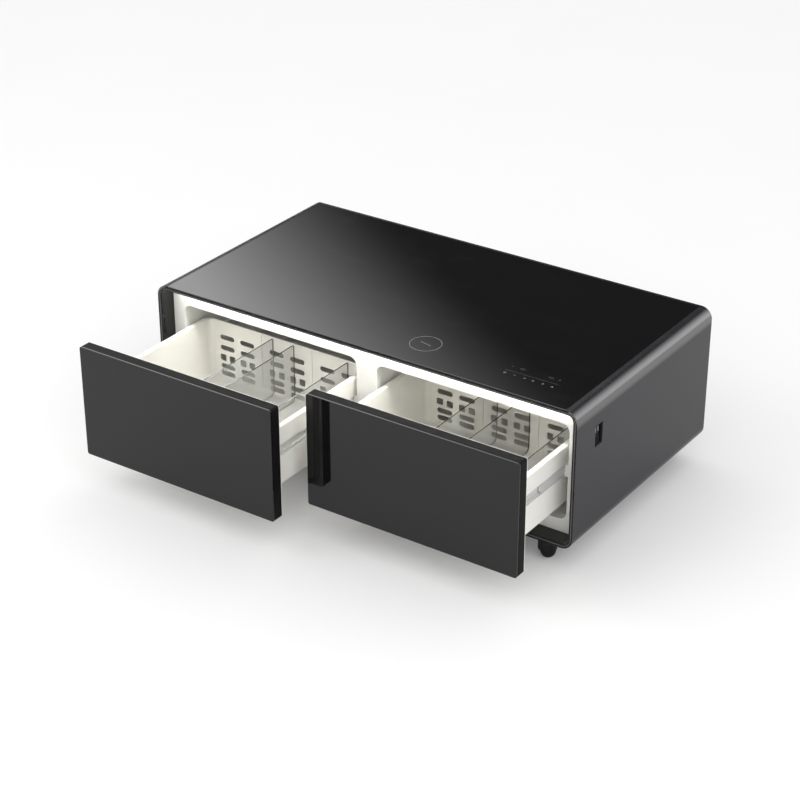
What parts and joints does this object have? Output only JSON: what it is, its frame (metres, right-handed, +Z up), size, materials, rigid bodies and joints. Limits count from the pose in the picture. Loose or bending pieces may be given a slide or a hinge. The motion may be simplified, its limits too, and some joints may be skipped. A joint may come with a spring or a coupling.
{
  "type": "refrigerator coffee table",
  "caption": "Low cabinet with a black glass top, two pull-out chilled drawers with divided tubs, a cooling unit behind, side sockets, and swivel casters.",
  "frame": {"origin": "on the floor, under the middle of the table's outline with its drawers open as posed", "axes": "+X to the right as seen from the front, the front and its doors face -Y, +Z up"},
  "size_m": [1.3, 1.041, 0.45],
  "materials": {
    "shell_paint": "satin black coated sheet",
    "black_glass": "polished, printed black on the back",
    "black_plastic": "gloss black",
    "dark_plastic": "fine texture",
    "white_plastic": "smooth warm white",
    "clear_smoke": "clear, smoked",
    "foam": "rigid foam",
    "slide_steel": "zinc plated",
    "dark_steel": "black coated",
    "fin_aluminium": "plain",
    "copper": "drawn copper",
    "board": "solder mask",
    "lamp": "diffusing",
    "rubber": "soft, grey",
    "black_rubber": "soft, black",
    "wheel_plastic": "moulded"
  },
  "bodies": {
    "cabinet": {"outer_shell": "shell_paint", "glass_top": "black_glass", "front_rim": "black_plastic", "liner_flange": "white_plastic", "left_cavity_liner": "white_plastic", "right_cavity_liner": "white_plastic", "foam_insulation": "foam", "rear_panel": "dark_plastic", "base_rails": "slide_steel", "duct_covers": "white_plastic", "evaporators": "fin_aluminium", "fan_motors": "dark_plastic", "compressor": "dark_steel", "compressor_bushes": "black_rubber", "condenser": "dark_steel", "condenser_fan_frame": "dark_plastic", "refrigerant_pipes": "copper", "drip_tray": "white_plastic", "control_board": "board", "power_supply": "fin_aluminium", "touch_board": "board", "wireless_charger": "copper", "led_strip": "lamp", "led_diffuser": "lamp", "socket_bezel": "black_plastic", "socket_module": "dark_plastic", "power_inlet": "dark_plastic", "slide_brackets": "white_plastic", "slide_outer_members": "slide_steel", "caster_plates": "dark_steel", "cabinet_screws": "slide_steel"},
    "left_drawer": {"left_door_glass": "black_glass", "left_door_frame": "black_plastic", "left_door_foam": "foam", "left_door_panel": "white_plastic", "left_door_seal": "rubber", "left_tub": "white_plastic", "left_dividers": "clear_smoke", "left_slide_inners": "slide_steel"},
    "right_drawer": {"right_door_glass": "black_glass", "right_door_frame": "black_plastic", "right_door_foam": "foam", "right_door_panel": "white_plastic", "right_door_seal": "rubber", "right_tub": "white_plastic", "right_dividers": "clear_smoke", "right_slide_inners": "slide_steel"},
    "left_slide_middle": {"left_slide_middles": "slide_steel"},
    "right_slide_middle": {"right_slide_middles": "slide_steel"},
    "left_fan_rotor": {"left_fan_rotor": "white_plastic"},
    "right_fan_rotor": {"right_fan_rotor": "white_plastic"},
    "condenser_fan_rotor": {"condenser_fan_rotor": "dark_plastic"},
    "front_left_caster": {"front_left_caster_hood": "black_plastic"},
    "front_left_wheel": {"front_left_wheel": "wheel_plastic"},
    "front_right_caster": {"front_right_caster_hood": "black_plastic"},
    "front_right_wheel": {"front_right_wheel": "wheel_plastic"},
    "rear_left_caster": {"rear_left_caster_hood": "black_plastic"},
    "rear_left_wheel": {"rear_left_wheel": "wheel_plastic"},
    "rear_right_caster": {"rear_right_caster_hood": "black_plastic"},
    "rear_right_wheel": {"rear_right_wheel": "wheel_plastic"}
  },
  "joints": [
    {"name": "left_drawer_slide", "type": "slide", "parent": "cabinet", "child": "left_drawer", "axis": [0, -1, 0], "range_m": [-0.341, 0.059]},
    {"name": "left_slide_extension", "type": "slide", "parent": "cabinet", "child": "left_slide_middle", "axis": [0, -1, 0], "range_m": [-0.1705, 0.0295]},
    {"name": "right_drawer_slide", "type": "slide", "parent": "cabinet", "child": "right_drawer", "axis": [0, -1, 0], "range_m": [-0.22, 0.18]},
    {"name": "right_slide_extension", "type": "slide", "parent": "cabinet", "child": "right_slide_middle", "axis": [0, -1, 0], "range_m": [-0.11, 0.09]},
    {"name": "left_fan_spin", "type": "hinge", "parent": "cabinet", "child": "left_fan_rotor", "pos_m": [-0.0995, 0.3275, 0.2465], "axis": [0, 1, 0], "continuous": true},
    {"name": "right_fan_spin", "type": "hinge", "parent": "cabinet", "child": "right_fan_rotor", "pos_m": [0.5335, 0.3275, 0.2465], "axis": [0, 1, 0], "continuous": true},
    {"name": "condenser_fan_spin", "type": "hinge", "parent": "cabinet", "child": "condenser_fan_rotor", "pos_m": [-0.38, 0.4405, 0.1362], "axis": [0, 1, 0], "continuous": true},
    {"name": "front_left_swivel", "type": "hinge", "parent": "cabinet", "child": "front_left_caster", "pos_m": [-0.56, -0.1425, 0.06], "axis": [0, 0, 1], "continuous": true},
    {"name": "front_left_roll", "type": "hinge", "parent": "front_left_caster", "child": "front_left_wheel", "pos_m": [-0.56085, -0.14069, 0.02], "axis": [0.9063, 0.4226, 0], "continuous": true},
    {"name": "front_right_swivel", "type": "hinge", "parent": "cabinet", "child": "front_right_caster", "pos_m": [0.56, -0.1425, 0.06], "axis": [0, 0, 1], "continuous": true},
    {"name": "front_right_roll", "type": "hinge", "parent": "front_right_caster", "child": "front_right_wheel", "pos_m": [0.56129, -0.14097, 0.02], "axis": [0.766, -0.6428, 0], "continuous": true},
    {"name": "rear_left_swivel", "type": "hinge", "parent": "cabinet", "child": "rear_left_caster", "pos_m": [-0.56, 0.4835, 0.06], "axis": [0, 0, 1], "continuous": true},
    {"name": "rear_left_roll", "type": "hinge", "parent": "rear_left_caster", "child": "rear_left_wheel", "pos_m": [-0.56068, 0.48162, 0.02], "axis": [-0.9397, 0.342, 0], "continuous": true},
    {"name": "rear_right_swivel", "type": "hinge", "parent": "cabinet", "child": "rear_right_caster", "pos_m": [0.56, 0.4835, 0.06], "axis": [0, 0, 1], "continuous": true},
    {"name": "rear_right_roll", "type": "hinge", "parent": "rear_right_caster", "child": "rear_right_wheel", "pos_m": [0.55819, 0.48265, 0.02], "axis": [-0.4226, 0.9063, 0], "continuous": true}
  ],
  "couplings": [
    {"joint": "left_slide_extension", "follows": "left_drawer_slide", "ratio": 0.5},
    {"joint": "right_slide_extension", "follows": "right_drawer_slide", "ratio": 0.5}
  ]
}
